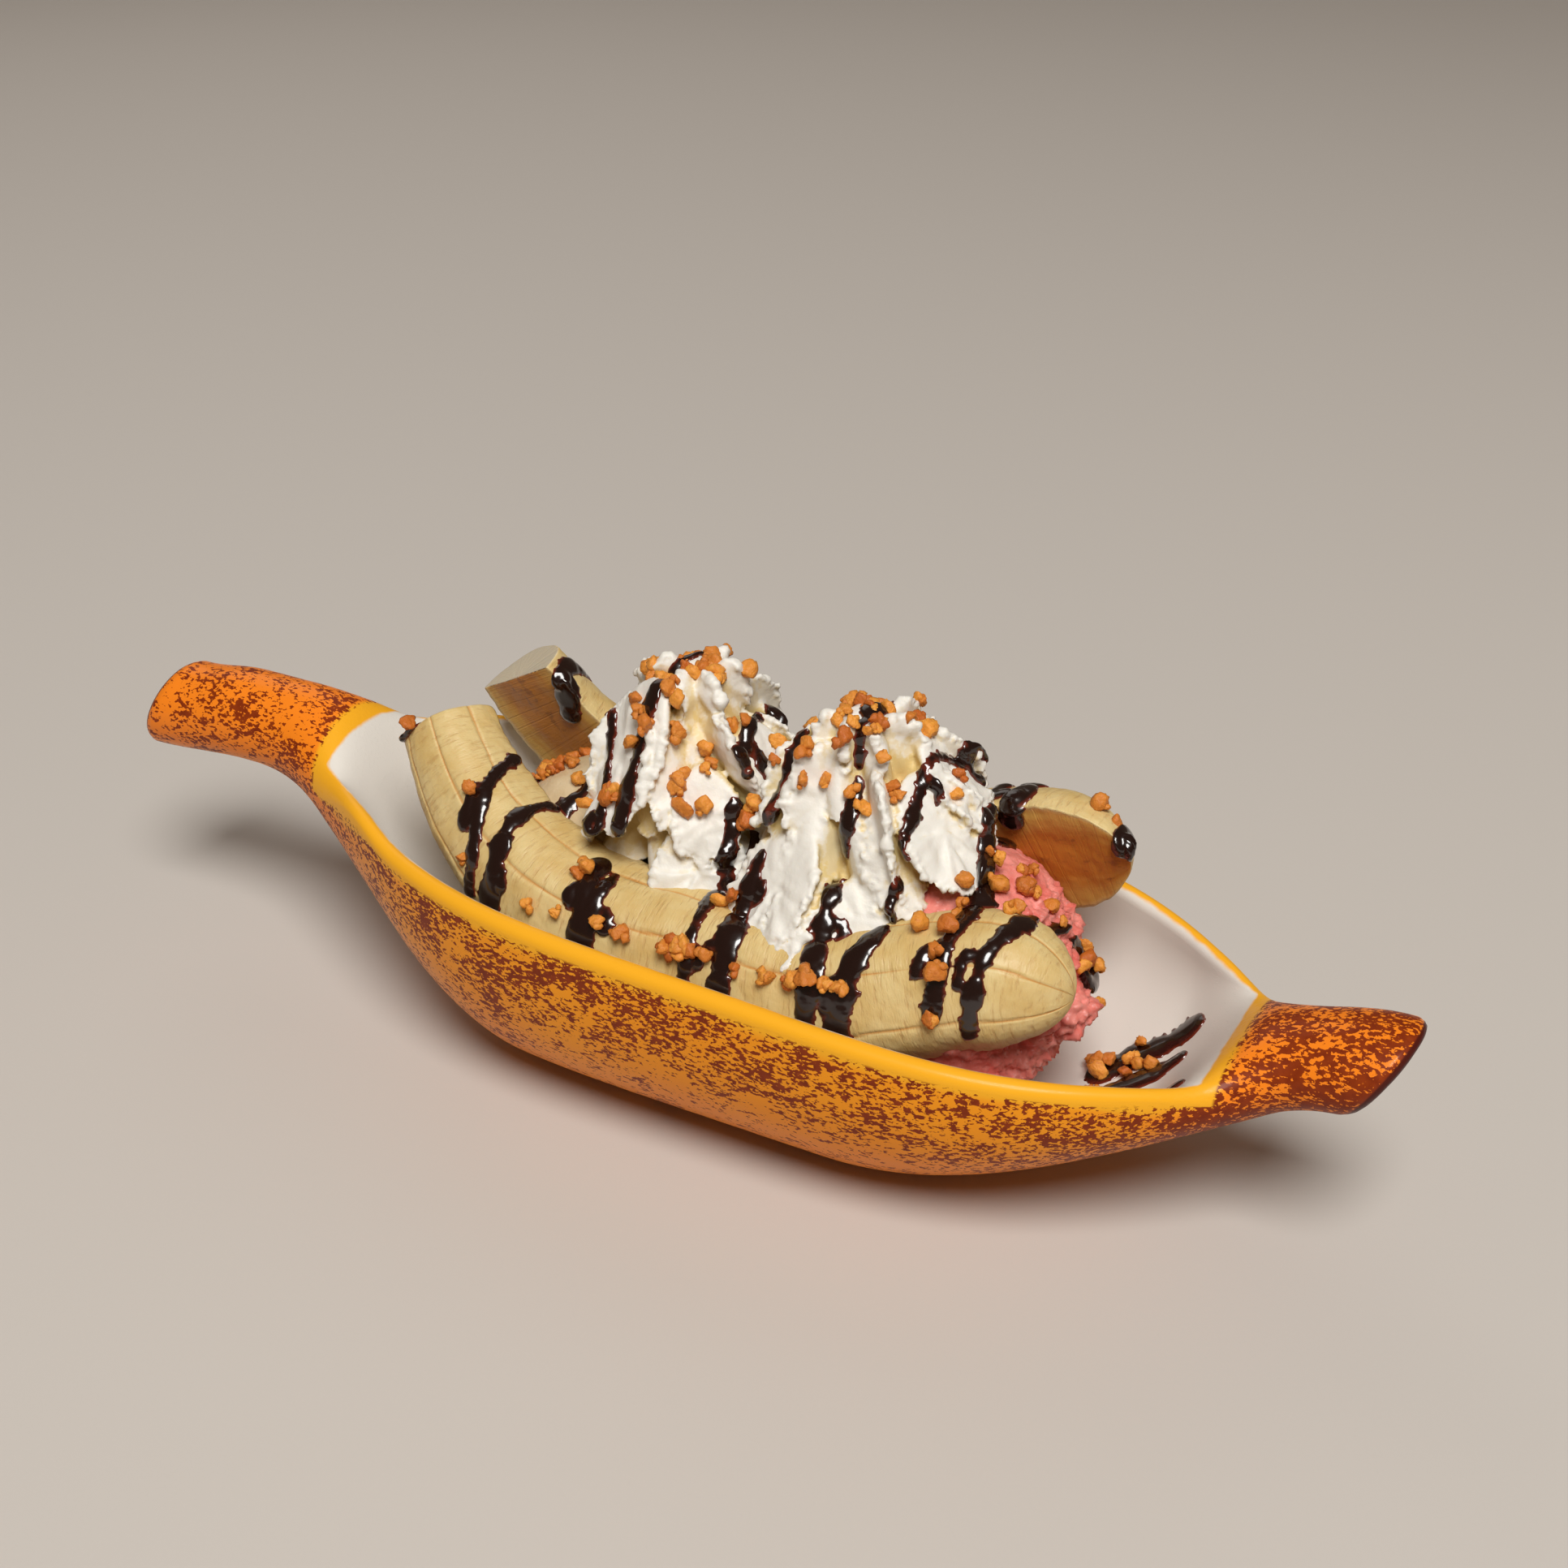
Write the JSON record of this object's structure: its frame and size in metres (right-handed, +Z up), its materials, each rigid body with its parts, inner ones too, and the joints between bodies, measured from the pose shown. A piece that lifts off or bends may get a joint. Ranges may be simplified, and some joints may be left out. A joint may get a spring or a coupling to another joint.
{
  "type": "banana split",
  "caption": "Banana split in a speckled banana-shaped dish: halved banana, scoops of ice cream, whipped cream, chocolate sauce and nut crunch.",
  "frame": {"origin": "on the table under the middle of the dish's length and width", "axes": "+X along the dish from its stem to its blossom tip, +Y to the side of the half banana that shows its cut face, +Z up"},
  "size_m": [0.3203, 0.0974, 0.105],
  "materials": {
    "dish_glaze": "orange-yellow glaze with maroon speckles outside, white glaze inside",
    "banana_flesh": "moist, soft satin banana flesh",
    "vanilla_ice": "frozen, slightly rough",
    "chocolate_ice": "frozen, slightly rough",
    "strawberry_ice": "frozen, crystalline at the torn edges",
    "whipped_cream": "soft, matt, airy",
    "chocolate_sauce": "thick glossy chocolate sauce",
    "nut_crunch": "caramelised nut crunch, slightly glossy"
  },
  "bodies": {
    "root": {"dish": "dish_glaze", "banana_front": "banana_flesh", "banana_back": "banana_flesh", "scoop_vanilla": "vanilla_ice", "scoop_chocolate": "chocolate_ice", "scoop_strawberry": "strawberry_ice", "cream_left": "whipped_cream", "cream_right": "whipped_cream"}
  },
  "joints": []
}
